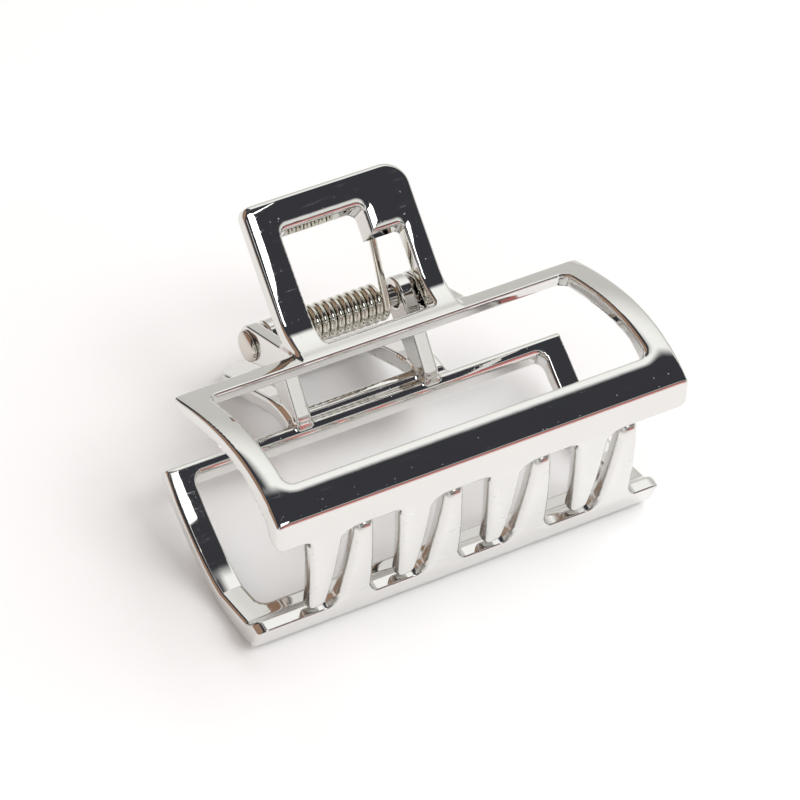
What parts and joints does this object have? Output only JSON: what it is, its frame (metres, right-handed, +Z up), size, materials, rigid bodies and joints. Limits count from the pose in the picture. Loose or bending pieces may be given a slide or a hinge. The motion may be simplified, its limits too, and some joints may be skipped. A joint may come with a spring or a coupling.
{
  "type": "claw hair clip",
  "caption": "Chrome-plated claw hair clip with windowed bulged jaws, interleaved teeth, square ring handles and a sprung hinge.",
  "frame": {"origin": "middle of the bounding box, on the surface that the closed clip lies on", "axes": "+X along the hinge pin, +Y from the teeth towards the handles, +Z up; the clip lies on its rear jaw"},
  "size_m": [0.05, 0.0396, 0.0298],
  "materials": {
    "chrome_plate": "polished bright chrome over a zinc casting, with fine surface scratches",
    "pin_steel": "bright nickel-plated steel pin",
    "spring_wire": "drawn nickel-plated spring wire"
  },
  "bodies": {
    "rear": {"rear_jaw": "chrome_plate", "hinge_pin": "pin_steel", "torsion_spring": "spring_wire"},
    "front": {"front_jaw": "chrome_plate"}
  },
  "joints": [
    {"name": "jaw_hinge", "type": "hinge", "parent": "rear", "child": "front", "pos_m": [0, 0.0107, 0.01422], "axis": [-1, 0, 0], "range_deg": [0, 65], "stiffness_Nm_per_rad": 0.03, "springref_deg": -34.38, "deforming": ["torsion_spring"]}
  ]
}
